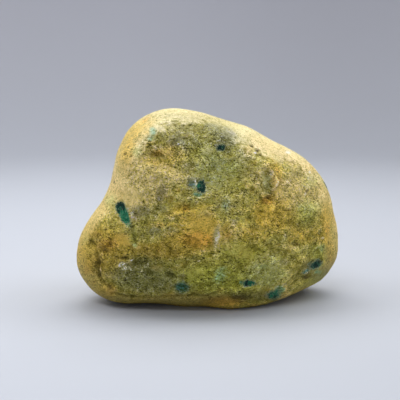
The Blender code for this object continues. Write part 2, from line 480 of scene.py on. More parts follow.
def addNode(tree, kind, inputs=None, **settings):
    made = tree.nodes.new("ShaderNode" + kind)
    for name, value in settings.items():
        setattr(made, name, value)
    for socket, value in (inputs or {}).items():
        feed(tree, made.inputs[socket], value)
    return made


def feed(tree, socket, value):
    if isinstance(value, bpy.types.NodeSocket):
        tree.links.new(value, socket)
    else:
        socket.default_value = value


def calc(tree, operation, *values):
    made = addNode(tree, "Math", dict(enumerate(values)), operation=operation)
    return made.outputs[0]


def vectorCalc(tree, operation, *values):
    made = addNode(tree, "VectorMath", dict(enumerate(values)), operation=operation)
    return made.outputs["Vector"]


def mixColour(tree, share, low, high, blend="MIX"):
    made = addNode(tree, "Mix", {0: share, 6: low, 7: high}, data_type="RGBA", blend_type=blend)
    return made.outputs[2]


def ramp(tree, value, low, high, toLow=0.0, toHigh=1.0):
    made = addNode(
        tree,
        "MapRange",
        {"Value": value, "From Min": low, "From Max": high, "To Min": toLow, "To Max": toHigh},
        interpolation_type="SMOOTHSTEP",
    )
    return made.outputs["Result"]


def noiseAt(tree, place, size, detail=2.0, roughness=0.5):
    inputs = {"Vector": place, "Scale": 1 / size, "Detail": detail, "Roughness": roughness}
    return addNode(tree, "TexNoise", inputs)


def paint(red, green, blue):
    # a colour as it is picked on screen, 0 to 255
    def linear(value):
        value /= 255
        return value / 12.92 if value <= 0.04045 else ((value + 0.055) / 1.055) ** 2.4

    return linear(red), linear(green), linear(blue), 1.0


# Colours are the stone's own, in plain even light, except that the pale rind towards the top and the olive
# rind towards the foot are partly the skin's own tones and partly painted light on top and painted shade low
# down
skinColours = {
    "rind": paint(206, 184, 98),
    "pale rind": paint(221, 208, 142),
    "golden rind": paint(208, 174, 80),
    "olive rind": paint(168, 148, 66),
    "face": paint(182, 171, 84),
    "yellow face": paint(192, 177, 82),
    "olive face": paint(155, 150, 74),
    "bleached face": paint(188, 180, 128),
    "brown face": paint(168, 138, 54),
}

# Places of each soft colour in front: across, down, width, height, turn and strength
# Pale is partly the stone's own paler tones and partly painted light: on the cheek, which faces the light, on
# its cream ledge, and over the shade under the brow
palePlaces = {
    "low bright": (274, 280, 44, 36, 20, 1),
    "lobe": (112, 277, 20, 12, 0, 0.35),
    "upper left rim": (119, 160, 10, 60, -12, 0.3),
    "left rim": (97, 214, 15, 96, -30, 0.9),
    # painted light: the cheek faces the light
    "cheek": (133, 184, 40, 66, -10, 1),
    "upper cheek": (146, 166, 50, 18, -12, 0.9),
    "ledge on the cheek": (168, 172, 36, 16, -20, 0.9),
    "under the ledge on the cheek": (148, 190, 26, 20, 0, 0.5),
    "waist": (114, 200, 34, 40, 40, 0.75),
    "flank": (304, 190, 60, 46, 25, 1),
    "upper flank": (290, 158, 44, 14, -30, 0.6),
    "right rim": (334, 200, 10, 80, 8, 0.7),
    "arch": (192, 216, 66, 9, 0, 0.45),
    "belly": (230, 236, 26, 26, 0, 0.65),
    "right of the belly": (264, 262, 16, 22, 0, 0.55),
    "right middle": (300, 247, 40, 14, 0, 0.25),
    "shoulder": (268, 146, 50, 18, -25, 0.8),
    "streak": (217, 238, 7, 28, 0, 1),
    "streak's head": (219, 205, 9, 22, 0, 0.35),
    "block": (290, 247, 15, 10, 0, 0.5),
    "low right": (284, 284, 16, 10, 20, 0.6),
    "under the block": (261, 262, 10, 14, 20, 0.5),
    "ledge": (176, 268, 20, 5, 20, 0.5),
    "crown": (210, 118, 130, 12, -12, 0.35),
    # painted light over the shade under the brow
    "under the brow": (212, 174, 48, 36, 0, 1),
    "crescent": (267, 177, 20, 28, 0, 1),
    "right of the lobe": (100, 252, 26, 20, 0, 0.25),
    "ledge low": (182, 270, 30, 10, 0, 0.4),
    "round the second teal": (200, 182, 46, 50, 0, 0.35),
    "shoulder low": (240, 168, 50, 26, -20, 0.55),
    "lobe left": (98, 262, 16, 40, 0, 0.3),
    "right of the streak": (224, 236, 18, 18, 0, 0.6),
    "left middle": (158, 190, 28, 46, 0, 0.65),
    "low bright 2": (262, 266, 24, 20, 0, 0.5),
    "hollow": (243, 250, 30, 16, 0, 0.2),
    "belly right": (220, 234, 18, 16, 0, 0.6),
    # painted light on the lower cheek and over the shade under the brow's left end
    "left cheek low": (135, 206, 28, 24, 0, 0.7),
    "brow left low": (160, 152, 36, 13, 0, 0.7),
    "right of the second teal": (210, 184, 22, 28, 0, 0.6),
    "flank low": (294, 190, 66, 22, 0, 0.85),
    "belly low": (200, 248, 50, 11, 0, 0.55),
    "low right foot": (281, 290, 18, 22, 0, 1),
    "right low": (310, 262, 20, 22, 0, 0.45),
    "under the crescent": (268, 203, 22, 14, 0, 0.3),
    "between the teals": (136, 212, 26, 10, 0, 0.4),
}
goldenPlaces = {
    "over the arch": (182, 207, 24, 14, 0, 0.6),
    "belly": (190, 240, 60, 28, 0, 0.95),
    "below the belly": (158, 250, 70, 16, 0, 0.95),
    "arch": (186, 214, 64, 14, 0, 0.55),
    "lobe": (104, 250, 60, 56, 0, 0.95),
    "lobe's foot": (108, 292, 24, 16, 0, 0.8),
    "brow": (166, 154, 46, 34, -10, 0.5),
    "left rim": (128, 146, 22, 70, -14, 0.85),
    "under the crescent": (268, 212, 38, 36, 0, 0.8),
    "by the crescent": (274, 172, 22, 40, 20, 0.55),
    "right of the streak": (228, 234, 16, 24, 0, 0.5),
    "right rim": (327, 218, 12, 34, 0, 0.7),
    "low right rim": (331, 254, 9, 26, 0, 0.6),
    "right": (290, 218, 70, 40, 0, 0.5),
    "lip": (222, 303, 50, 10, 0, 0.9),
    "lip's left": (158, 302, 20, 6, 0, 0.3),
    "shoulder": (249, 150, 12, 14, 0, 0.5),
    "flank": (300, 190, 50, 24, 20, 0.2),
    "crown": (150, 120, 30, 16, 20, 0.4),
    "arch right": (205, 221, 50, 16, 0, 0.5),
    "brow's left rim": (144, 132, 24, 20, 30, 0.5),
    "belly right": (206, 236, 20, 24, 0, 0.8),
    "arch middle": (200, 226, 46, 18, 0, 0.7),
    "right low": (308, 236, 44, 22, 0, 0.5),
    "hollow": (250, 242, 28, 44, 0, 0.6),
    "below the cheek": (168, 254, 40, 18, 0, 0.6),
    "low right rim 2": (325, 270, 12, 16, 20, 0.5),
    "right rim low": (325, 238, 12, 24, 0, 0.5),
    "above the arch": (206, 205, 24, 12, 0, 0.4),
    "cheek": (152, 160, 30, 10, -12, 0.3),
}
orangePlaces = {
    "left rim": (128, 138, 12, 40, -14, 0.15),
    "belly": (198, 240, 36, 18, 0, 0.9),
    "pit on the brow": (157, 153, 14, 7, 0, 0.8),
    "lobe": (106, 246, 24, 16, 0, 0.8),
    "lobe's middle": (120, 239, 22, 16, 0, 0.3),
    "lobe's top": (97, 234, 12, 8, 0, 0.4),
    "lobe's foot": (110, 292, 12, 9, 0, 0.6),
    "rust dot": (158, 251, 4, 4, 0, 0.9),
    "under the crescent": (268, 200, 14, 9, 0, 0.7),
    "by the crescent": (279, 175, 6, 22, 15, 0.4),
    "above the belly": (186, 208, 12, 8, 0, 0.6),
    "over the arch": (213, 213, 14, 6, -20, 0.4),
    "streak": (228, 237, 8, 9, 0, 0.5),
    "right rim": (328, 230, 6, 12, 0, 0.5),
    "low right rim": (330, 258, 6, 10, 0, 0.4),
    "lip": (226, 300, 50, 9, 0, 0.9),
    "rust on the lobe 1": (86, 272, 5, 9, 0, 0.5),
    "rust on the lobe 2": (94, 282, 6, 7, 0, 0.5),
    "brow's top": (147, 119, 12, 7, 30, 0.4),
    "lobe low": (94, 266, 26, 22, 0, 0.5),
    "between the lobes": (158, 224, 26, 10, 0, 0.4),
}
greenPlaces = {
    "left of the brow": (136, 151, 11, 14, 0, 0.5),
    "brow": (215, 160, 64, 90, 0, 0.6),
    "under the brow": (212, 178, 50, 36, 0, 0.5),
    "hollow": (243, 252, 60, 30, 0, 0.7),
    "low middle": (214, 279, 120, 34, 0, 0.95),
    "low left": (146, 280, 60, 26, 0, 0.7),
    "low right": (268, 284, 60, 30, 0, 0.4),
    "flank": (306, 216, 26, 30, 0, 0.7),
    "right": (318, 258, 22, 34, 0, 0.7),
    "crescent": (266, 184, 12, 26, 10, 0.5),
    "shoulder": (238, 168, 30, 26, 0, 0.45),
    "middle": (160, 208, 28, 20, 0, 0.4),
    "valley": (134, 236, 10, 26, 0, 0.6),
    "low right rim": (322, 277, 30, 14, 25, 0.8),
    "waist": (113, 205, 16, 26, 40, 0.4),
    "right rim": (326, 186, 12, 24, 20, 0.4),
    "low right lip": (308, 284, 30, 10, 25, 0.5),
    "low middle left": (168, 262, 30, 10, 0, 0.3),
}
paleGreenPlaces = {
    "low right": (270, 272, 44, 36, 0, 0.9),
    "flank": (312, 180, 26, 20, 20, 0.5),
    "flank low": (308, 206, 34, 22, 0, 0.5),
    "waist": (114, 203, 18, 30, 40, 0.5),
    "under the brow": (216, 168, 42, 36, 0, 0.55),
    "shoulder": (240, 168, 26, 20, 0, 0.3),
    "crescent": (266, 176, 14, 22, 0, 0.5),
    "low middle": (222, 274, 26, 24, 0, 0.25),
    "right": (308, 250, 30, 16, 0, 0.3),
    "left of the brow": (137, 152, 12, 16, 0, 0.4),
    "lobe's rim": (86, 240, 10, 24, 0, 0.3),
    "above the arch": (204, 200, 30, 12, 0, 0.25),
}
greyPlaces = {
    "brow notch": (211, 126, 14, 8, 0, 0.6),
    "brow": (226, 136, 34, 18, -30, 0.8),
    "brow's left": (180, 142, 14, 9, 0, 0.6),
    "speckled hollow": (141, 213, 22, 16, 0, 0.8),
    "under the speckled hollow": (154, 231, 16, 8, 0, 0.6),
    "beside the belly": (174, 230, 16, 9, 0, 0.5),
    "right of the arch": (226, 205, 15, 22, 0, 0.6),
    "crescent": (267, 182, 14, 28, 12, 0.5),
    "white crystals": (134, 272, 44, 26, 0, 0.8),
    "low left": (148, 279, 66, 30, 0, 0.8),
    "low left foot": (143, 288, 60, 12, 0, 0.3),
    "by the foot": (182, 289, 24, 18, 0, 0.5),
    "flank's foot": (312, 268, 28, 20, 20, 0.4),
    "flank": (298, 176, 24, 12, 20, 0.3),
    "round the second teal": (198, 186, 24, 22, 0, 0.55),
    "round the first teal": (122, 208, 20, 16, 0, 0.4),
    "shoulder": (246, 158, 26, 20, -30, 0.4),
    "second's left": (191, 182.5, 10, 12, 0, 0.8),
    "beside the second teal": (216, 176, 34, 42, 0, 0.4),
    "middle": (160, 198, 14, 28, 0, 0.4),
    "streak": (216, 237, 8, 30, -8, 0.6),
    "brow wide": (196, 137, 90, 26, 0, 0.5),
    "low right": (268, 274, 44, 34, 0, 0.5),
}
lavenderPlaces = {
    "middle": (160, 196, 8, 18, 0, 0.6),
    "crescent": (271, 172, 6, 12, 15, 0.45),
    "right of the arch": (234, 222, 9, 10, 0, 0.6),
    "low": (285.5, 263, 12, 9, 0, 0.6),
    "under the ledge": (182, 278, 8, 6, 0, 0.7),
    "hollow": (132, 216, 9, 9, 0, 0.8),
    "brow": (232, 132, 14, 6, -30, 0.4),
    "low flecks": (142, 237, 7, 5, 0, 0.4),
}
# Dark is partly the stone's own darker tones and partly painted shade: along the foot and lip, where the stone
# meets the floor, under the ledge and in the crescent's hollow
darkPlaces = {
    "lobe top": (92, 240, 12, 10, 0, 0.3),
    "left rim": (84, 276, 16, 30, 15, 0.25),
    "right rim": (332, 262, 16, 40, 15, 0.45),
    "flank teal": (312, 268, 30, 20, 20, 0.6),
    "over the belly": (160, 232, 50, 14, 0, 0.4),
    "brow's left": (152, 154, 16, 10, 20, 0.4),
    "brow": (172, 139, 34, 14, 10, 0.65),
    "brow's right": (223, 140, 26, 26, -30, 0.85),
    "brow's top": (196, 130, 40, 7, 0, 0.3),
    "speckled hollow": (142, 211, 26, 12, 10, 0.5),
    "middle": (163, 188, 9, 22, 0, 0.45),
    "middle low": (160, 209, 14, 10, 0, 0.6),
    # painted shade in the crescent's hollow
    "crescent": (261, 183, 8, 24, 10, 0.1),
    "shoulder": (252, 166, 28, 10, -35, 0.3),
    "right": (302, 225, 40, 16, 0, 0.4),
    "low left": (142, 272, 84, 50, 0, 0.65),
    "lobe": (100, 258, 54, 70, 0, 0.5),
    "below the belly": (165, 252, 84, 26, 0, 0.5),
    # painted shadow along the lip by the floor, over the foot's own darker tone
    "lip": (190, 299, 170, 12, 0, 0.7),
    "dark crystals": (141, 263, 15, 8, 0, 0.8),
    # painted shadow under the ledge
    "under the ledge": (172, 277, 12, 5, -10, 0.6),
    "low left foot": (170, 288, 80, 14, 0, 0.5),
    "low right": (304, 272, 34, 18, 20, 0.35),
    "foot": (254, 296, 50, 12, 0, 1),
    "lobe groove": (96, 262, 8, 40, -8, 0.4),
    "low middle": (196, 259, 18, 7, 0, 0.4),
    "dark band": (276, 248, 20, 14, 30, 0.35),
    "valley": (133.5, 234, 4, 24, 16, 0.7),
    "flank": (299, 174, 12, 6, 0, 0.4),
    "second's left": (191, 182.5, 8, 10, 0, 0.7),
    "between the lobes": (136, 230, 44, 24, 0, 0.45),
    "low right rim": (323, 277, 26, 12, 25, 0.5),
    "above the arch": (207, 210, 20, 10, 0, 0.4),
    "right of the first teal": (141, 212, 22, 16, 0, 0.3),
    "crown": (186, 119, 100, 18, -5, 0.5),
    "over the second teal": (184, 166, 30, 14, 0, 0.45),
    "arch right": (206, 214, 20, 12, 0, 0.3),
    "belly": (180, 238, 50, 24, 0, 0.2),
    "foot right": (220, 296, 46, 8, 0, 0.5),
    # painted shadow at the left foot, where the stone meets the floor
    "left foot": (116, 296, 40, 12, -10, 1),
    "left of second": (190, 168, 20, 20, 0, 0.2),
    "arch end": (208, 213, 14, 8, 0, 0.45),
    "over the belly left": (165, 211, 22, 10, 0, 0.45),
    "under the crown": (180, 127, 70, 10, 0, 0.5),
    "shoulder high": (280, 156, 26, 18, -28, 0.3),
    "low middle wide": (238, 271, 50, 14, 0, 0.4),
    "right foot rim": (325, 272, 12, 13, 20, 0.5),
    "right of the arch": (236, 204, 14, 18, 0, 0.35),
    "flank teal's foot": (307, 274, 13, 13, 30, 0.6),
    "brow right low": (236, 152, 46, 11, 0, 0.38),
}
# Brown lies in the pits, grooves and notches that the forms dent in: partly their own colour and partly
# painted shade
brownPlaces = {
    "lobe groove top": (92, 242, 6, 4, 0, 0.4),
    "lobe groove": (97.5, 263, 4, 10, 0, 0.7),
    "lobe groove low": (98.5, 276, 4, 6, 0, 0.6),
    "lobe foot": (108, 288, 8, 4, -35, 0.45),
    "lobe pit": (103, 250.5, 8, 4, 0, 0.5),
    "small lobe pit": (108.5, 244, 4, 3, 0, 0.45),
    "over the crystals": (123, 258.5, 9, 3, 0, 0.7),
    "pit on the brow": (157, 154.5, 9, 3, 0, 0.55),
    # painted shadow at the crescent's foot
    "crescent's foot": (268, 197, 9, 3.5, 10, 0.5),
    "shoulder 1": (252, 146, 3.5, 2.5, 0, 0.8),
    "shoulder 2": (257.5, 150, 4, 2.5, 0, 0.9),
    "shoulder 3": (260.5, 153.5, 3, 2.5, 0, 0.8),
    "flank pit": (307.5, 191, 3, 6, -30, 0.7),
    "notch": (298, 244.5, 8, 3, -30, 0.5),
    "rind 1": (124, 154, 2.5, 2, 0, 1),
    "rind 2": (130.5, 156, 2, 2, 0, 0.9),
    "rind 3": (128, 147, 2, 2, 0, 0.9),
    "waist": (114, 182, 2, 3, 0, 1),
    "crack": (192, 238, 15, 1.8, -22, 0.45),
    # painted shadow under the ledge
    "under the ledge": (172, 276.5, 6, 2.5, -10, 0.6),
    "dark spots": (306, 277.5, 7, 3.5, 20, 0.8),
    "foot": (240, 297, 24, 7, 0, 0.8),
    "black eye": (221, 148, 9, 6, -10, 0.4),
}
tealPlaces = {
    "crown": (153, 131, 8, 10, 20, 0.75),
    "crown's foot": (150, 138, 9, 7, 0, 0.6),
    "first's tail": (128, 224, 6, 9, 25, 0.5),
    "valley": (135, 245, 6, 6, 0, 0.5),
    "second's left": (191, 183, 8, 9, 0, 0.12),
    "long's end": (241.5, 283.5, 5, 6, 0, 0.9),
    "foot": (280, 291, 11, 10, 40, 1),
    "flank": (318, 272, 8, 5, 20, 0.6),
    "right": (322, 248, 7, 12, 0, 0.35),
    "low middle": (220, 276, 16, 22, -25, 0.5),
    "lavender's side": (226, 206, 11, 16, 0, 0.35),
    "pale green": (263, 268, 12, 10, 0, 0.4),
    "second's foot": (198.5, 194, 11, 6, 0, 0.75),
    "second's upper left": (195, 188, 5, 12, 0, 0.35),
}
blueTealPlaces = {
    "by the foot": (182.5, 288, 15, 12, 0, 1),
    "first's tail": (129.5, 225, 5, 7, 25, 0.4),
    "flank's tail": (306.5, 271.5, 10, 4, 25, 0.8),
    "right": (312, 264, 12, 5, 20, 0.4),
    "long's end": (241, 283, 5, 4, 0, 0.6),
    "second's left": (191.5, 184, 8, 9, 0, 0.35),
    "second's foot": (197.5, 194, 11, 6, 0, 0.6),
}
whitePlaces = {
    "brow 1": (211.3, 144, 3.5, 2.6, 0, 0.4),
    "brow 2": (216, 145.3, 2.4, 1.6, 0, 0.8),
    "brow 3": (227.5, 152.3, 7, 1.8, 20, 0.8),
    "brow 4": (178.5, 143.7, 4, 3, 0, 0.6),
    "brow 5": (218, 141, 8, 1.5, 10, 0.5),
    # partly a pale fleck, partly a painted highlight on the rim of the shoulder pits
    "shoulder": (255.4, 152.8, 4, 2, -20, 0.9),
    "shoulder patch": (288, 152, 7, 4, 0, 0.6),
    # flank 1 to 4: partly pale crystals, partly painted highlights on the rims of the flank pits
    "flank 1": (309.7, 172, 2.5, 3, 0, 0.8),
    "flank 2": (308.3, 178, 2.5, 2, 0, 0.7),
    "flank 3": (304.3, 186.6, 4, 1.8, -30, 0.5),
    "flank 4": (306.3, 194, 2, 3, -30, 0.4),
    "middle": (159.3, 200, 4, 1.8, 0, 0.9),
    "crystal 1": (121.5, 265, 6, 5, 30, 0.85),
    "crystal 2": (127, 268, 7, 4, 20, 0.8),
    "crystal 3": (132, 260.2, 4, 1.8, 0, 0.8),
    "crystal 4": (147.2, 264.7, 2, 3, 0, 0.9),
    "crystal 5": (141.8, 271.5, 3, 2.4, 0, 0.8),
    "crystal 6": (133, 264.3, 2, 1.5, 0, 0.8),
    "crystal 7": (135, 267.7, 2, 1.5, 0, 0.7),
    "hollow": (130.5, 213.5, 2.6, 4, 0, 0.9),
    "belly": (183, 225.3, 6, 1.6, 0, 0.4),
    "blue": (174.5, 231, 3, 1.8, 0, 0.6),
    "tiny": (199, 261.4, 4.5, 1.5, 0, 0.8),
    "long's rim": (245, 287.6, 5, 1.5, 0, 0.8),
    "low": (286, 285, 4, 3, 0, 0.7),
    "flank 5": (307.3, 273, 3.4, 2.6, 0, 0.9),
    "rim": (322.6, 238.2, 4, 1.8, 30, 0.7),
    # painted highlights along the crescent's raised rim
    "crescent 1": (272, 173, 1.4, 9, -30, 0.4),
    "crescent 2": (277, 184, 1.4, 10, 0, 0.35),
    "crescent 3": (270.5, 193, 1.4, 5, 20, 0.4),
    "lobe line": (100.6, 270.5, 1.5, 9, 0, 0.3),
    "second's rim 1": (199, 197, 8, 1.6, 0, 0.45),
    "second's rim 2": (196.5, 183, 1.6, 10, 20, 0.8),
    "streak": (217, 237, 6, 26, -8, 0.45),
    "crystal 8": (131, 270, 5, 2, -40, 0.8),
    "crystal 9": (123, 269, 5, 3, -50, 0.8),
    "low right": (270, 272, 34, 24, 0, 0.05),
    "crescent wide": (268, 176, 12, 24, 0, 0.06),
    "flank wide": (296, 188, 40, 24, 0, 0.08),
    "first's rim": (128.5, 213.5, 1.3, 15, 25, 0.6),
    "low 2": (278, 288, 4, 2.4, 0, 0.8),
    "low 3": (283, 287, 3, 2, 0, 0.7),
    "crystal 10": (126, 264, 8, 4, 0, 0.3),
}

# The soft colours in the order they are laid on. "elsewhere" is how much of the colour the sides,
# back and underside have.
colourFields = {
    # pale: partly the stone's own paler tones, partly painted light
    "pale": {"colour": paint(238, 213, 142), "amount": 0.67, "elsewhere": 0.5, "places": palePlaces},
    "golden": {"colour": paint(200, 168, 62), "amount": 0.85, "elsewhere": 0.6, "places": goldenPlaces},
    "orange": {"colour": paint(200, 150, 54), "amount": 0.7, "elsewhere": 0.25, "places": orangePlaces},
    "green": {"colour": paint(160, 162, 66), "amount": 0.8, "elsewhere": 0.45, "places": greenPlaces},
    "pale green": {"colour": paint(206, 214, 136), "amount": 0.6, "elsewhere": 0.3, "places": paleGreenPlaces},
    "grey": {"colour": paint(150, 150, 112), "amount": 0.65, "elsewhere": 0.35, "places": greyPlaces},
    "lavender": {"colour": paint(160, 148, 142), "amount": 0.5, "elsewhere": 0.15, "places": lavenderPlaces},
    # dark: partly the stone's own darker tones, partly painted shade
    "dark": {"colour": paint(92, 90, 44), "amount": 0.62, "elsewhere": 0.4, "places": darkPlaces},
    # brown: partly the pits' own colour, partly painted shade
    "brown": {"colour": paint(56, 44, 18), "amount": 0.75, "elsewhere": 0.12, "places": brownPlaces},
    "teal": {"colour": paint(112, 166, 130), "amount": 0.8, "elsewhere": 0.1, "places": tealPlaces},
    "blue teal": {"colour": paint(62, 116, 112), "amount": 0.9, "elsewhere": 0.04, "places": blueTealPlaces},
    # white: mostly pale crystals, with painted highlights on the crescent's rim and by the pits
    "white": {"colour": paint(240, 236, 218), "amount": 0.85, "elsewhere": 0.08, "places": whitePlaces},
}

# Teal crystals: the bearing each is seen from, its tone from 0, nearly black, to 1, emerald, how many
# steps its edge takes to fade, and its corners in that picture
crystals = {
    "first": (0, 0.1, 2.0, [
        (116, 205), (118, 202), (124, 203), (125, 208), (123, 213), (119, 214), (116, 209),
    ]),
    "first's body": (0, 0.75, 2.0, [(117, 211), (125, 207), (128, 213), (130, 221), (127, 225), (122, 221)]),
    "second": (0, 0.05, 2.0, [
        (197, 185), (199.5, 180.5), (203.5, 180.5), (205.5, 186.5),
        (204.5, 192.5), (200.5, 192.5), (197, 190),
    ]),
    "black eye": (0, 0.0, 2.6, [(217, 147), (221, 145), (225, 146), (224, 150), (220, 151), (217, 150)]),
    "long": (0, 0.2, 2.8, [(243, 283), (247, 280), (253, 281), (256, 284), (250, 286), (245, 286)]),
    "low": (0, 0.45, 4.5, [(267, 295), (272, 291), (278, 291), (279, 296), (275, 299), (270, 298)]),
    "flank": (0, 0.1, 3.0, [(309, 267), (313, 263), (318, 260), (322, 262), (320, 266), (314, 269)]),
    "right side": (90, 0.1, 2.2, [(196, 206), (199, 201), (204, 202), (206, 207), (201, 211)]),
    "right side's body": (90, 0.8, 2.4, [(201, 211), (206, 206), (211, 213), (213, 221), (208, 219)]),
    "right side's foot": (90, 0.15, 3.4, [(238, 262), (247, 256), (252, 259), (244, 267)]),
    "back": (180, 0.1, 2.2, [(229, 197), (234, 191), (239, 194), (240, 202), (235, 206), (230, 204)]),
    "back's body": (180, 0.85, 2.6, [(222, 206), (230, 204), (232, 209), (227, 217), (219, 221), (220, 212)]),
    "back's foot": (180, 0.2, 3.4, [(150, 272), (156, 266), (168, 263), (171, 267), (160, 273)]),
    "left side": (270, 0.1, 2.4, [(186, 240), (192, 235), (197, 238), (196, 244), (189, 246)]),
    "left side's body": (270, 0.75, 3.0, [(190, 246), (196, 243), (199, 249), (200, 259), (194, 255)]),
    "left side's top": (270, 0.2, 3.0, [(164, 152), (172, 149), (175, 152), (168, 156)]),
}
crystalColours = {
    "rim": paint(168, 184, 158),
    "deep": paint(14, 54, 42),
    "emerald": paint(46, 140, 96),
}


def spread(stone, seen, ofFront, field, shift):
    # how much of a colour each point has: its places in front, and soft noise on the other sides
    across, down = seen
    points = skewed(positions(stone))
    clear = np.ones(len(points))
    for x, y, wide, high, turn, strength in field["places"].values():
        away = ovalDistance(across, down, x, y, wide, high, turn)
        clear *= 1 - strength * np.exp(-1.1 * away ** 3)  # full inside, and fading past the edge
    cloudy = waves(points, 0.055, shift) + waves(points, 0.018, shift) * 0.5
    elsewhere = smoothStep(0.0, 0.55, cloudy) * field["elsewhere"]
    return (1 - clear) * ofFront + elsewhere * (1 - ofFront)


def crystalShare(stone):
    # how far inside a crystal each point is, 0.5 at an edge, and the tone of the crystals about it
    points = positions(stone)
    inside = np.zeros(len(points))
    tones = np.zeros(len(points))
    weights = np.full(len(points), 1e-6)
    for bearing, tone, fade, corners in crystals.values():
        across, down = inPicture(points, bearing)
        deep = 0.5 + np.clip(edgeDistance(across, down, corners) / fade, -1, 1) / 2
        deep *= facing(stone, bearing)
        inside = np.maximum(inside, deep)
        weight = deep ** 4
        tones += weight * tone
        weights += weight
    return inside, tones / weights


def warp(tree, place, size, reach):
    # the same place moved about by noise, for ragged edges
    shake = noiseAt(tree, place, size).outputs["Color"]
    around = vectorCalc(tree, "SUBTRACT", shake, (0.5, 0.5, 0.5))
    return vectorCalc(tree, "ADD", place, vectorCalc(tree, "MULTIPLY", around, (reach, reach, reach)))


def leant(tree, place, turn, scale):
    # the same place leant over and pulled out, for noise that runs one way
    return addNode(tree, "Mapping", {"Vector": place, "Rotation": (0, turn, 0), "Scale": scale}).outputs[0]


def attributeNode(tree, name):
    return addNode(tree, "Attribute", attribute_name=name).outputs["Fac"]


def centred(tree, value, gain):
    # noise around 0, made stronger
    return calc(tree, "MULTIPLY", calc(tree, "SUBTRACT", value, 0.5), gain)


def total(tree, *values):
    added = values[0]
    for value in values[1:]:
        added = calc(tree, "ADD", added, value)
    return added


def threeTones(tree, red, green, blue):
    return addNode(tree, "CombineColor", {0: red, 1: green, 2: blue}).outputs[0]


# Noise in the material, from broad clouds down to single grains: where it is read, its size in
# metres, its detail and its roughness
stoneNoises = {
    "broad": ("plain", 0.045, 3.0, 0.6),
    "middle": ("loose", 0.013, 4.0, 0.65),
    "bleached": ("loose", 0.009, 3.0, 0.7),
    "small": ("loose", 0.0055, 4.0, 0.7),
    "lines": ("loose", 0.0046, 2.0, 0.6),
    "blue": ("loose", 0.0018, 2.0, 0.7),
    "strokes": ("leaning", 0.0017, 2.0, 0.7),
    "fine": ("flattened", 0.0009, 0.5, 0.6),
    "grown": ("slanting", 0.003, 1.0, 0.5),
}
cellSize = 0.0012

# How strongly each thing lightens and darkens the stone, in stops: below 0 it only darkens
stoneStops = {
    "fine": 2.9,
    "cells": 0.8,
    # strokes: partly grain, partly painted shade in the bump's dips and painted light on its tops
    "strokes": 0.6,
    "dark strokes": -3.3,
    "light strokes": 0.9,
    "cracks": -1.2,
    "small clouds": 0.7,
    "middle clouds": 1.9,
    # painted light on the bumps and painted shade in the hollows, small and broad
    "cavity": 1.3,
    "hollow": 1.0,
    "all over": 0.35,
    "lightest": 1.3,
    "darkest": -3.0,
    "blue noise": 4.2,
    "blue on the face": -0.18,
}

# How much each kind of grain stands out, in millimetres
grainHeights = {"fine": 1.0, "strokes": 2.2, "cracks": -0.9}
# painted shade: towards the foot the colour turns yellower and slightly darker
paintedFootShade = (1.0, 0.98, 0.70, 1.0)  # the colour is multiplied by this towards the foot


def readStone(tree):
    # everything that the colours below are worked out from
    plain = addNode(tree, "TexCoord").outputs["Object"]
    loose = warp(tree, plain, 0.012, 0.007)
    places = {
        "plain": plain,
        "loose": loose,
        "flattened": leant(tree, plain, 0, (0.85, 0.85, 1.15)),
        "leaning": leant(tree, loose, 0.35, (0.5, 0.6, 1.3)),
        "slanting": leant(tree, plain, 0.5, (1, 1, 0.3)),
    }
    found = {"rough": attributeNode(tree, "rough")}
    found["height"] = addNode(tree, "SeparateXYZ", {0: plain}).outputs["Z"]
    for name, (place, size, detail, roughness) in stoneNoises.items():
        found[name] = noiseAt(tree, places[place], size, detail, roughness).outputs["Fac"]
    cells = addNode(tree, "TexVoronoi", {"Vector": plain, "Scale": 1 / cellSize}, feature="F1")
    found["cells"] = addNode(tree, "SeparateColor", {0: cells.outputs["Color"]}).outputs[0]
    offLine = calc(tree, "ABSOLUTE", calc(tree, "SUBTRACT", found["lines"], 0.5))
    patchy = ramp(tree, found["small"], 0.56, 0.44)
    found["cracks"] = calc(tree, "MULTIPLY", ramp(tree, offLine, 0.034, 0.006), patchy)
    return found


def skinAndFace(tree, found):
    # the worn skin's tones by height, paler on top and olive low down, partly its own tones and partly painted
    # light on top and painted shade low down; the rough face's by noise, and a ragged edge between the two
    tones, height, bleached = skinColours, found["height"], found["bleached"]
    rind = mixColour(tree, ramp(tree, found["broad"], 0.40, 0.62), tones["rind"], tones["golden rind"])
    # painted light towards the top and painted shade towards the foot, over the skin's own tones
    rind = mixColour(tree, ramp(tree, height, 0.10, 0.165), rind, tones["pale rind"])
    rind = mixColour(tree, ramp(tree, height, 0.08, 0.015, 0.0, 0.8), rind, tones["olive rind"])
    face = mixColour(tree, ramp(tree, found["middle"], 0.36, 0.64), tones["olive face"], tones["yellow face"])
    face = mixColour(tree, ramp(tree, found["broad"], 0.35, 0.65, 0.2, 0.8), face, tones["face"])
    face = mixColour(tree, ramp(tree, bleached, 0.52, 0.72, 0.0, 0.6), face, tones["bleached face"])
    face = mixColour(tree, ramp(tree, bleached, 0.46, 0.28, 0.0, 0.6), face, tones["brown face"])
    edge = total(tree, found["rough"], centred(tree, found["small"], 1.2))
    return mixColour(tree, ramp(tree, edge, 0.1, 0.9), rind, face)


def softFields(tree, found, colour):
    # the fields are laid on in turn, their edges broken up by noise
    broken = total(tree, centred(tree, found["small"], 0.7), centred(tree, found["middle"], 0.9))
    for name, field in colourFields.items():
        share = attributeNode(tree, name)
        ragged = total(tree, share, calc(tree, "MULTIPLY", broken, ramp(tree, share, 0.0, 0.3)))
        amount = ramp(tree, ragged, 0.05, 0.95, 0.0, field["amount"])
        colour = mixColour(tree, amount, colour, field["colour"])
    return colour


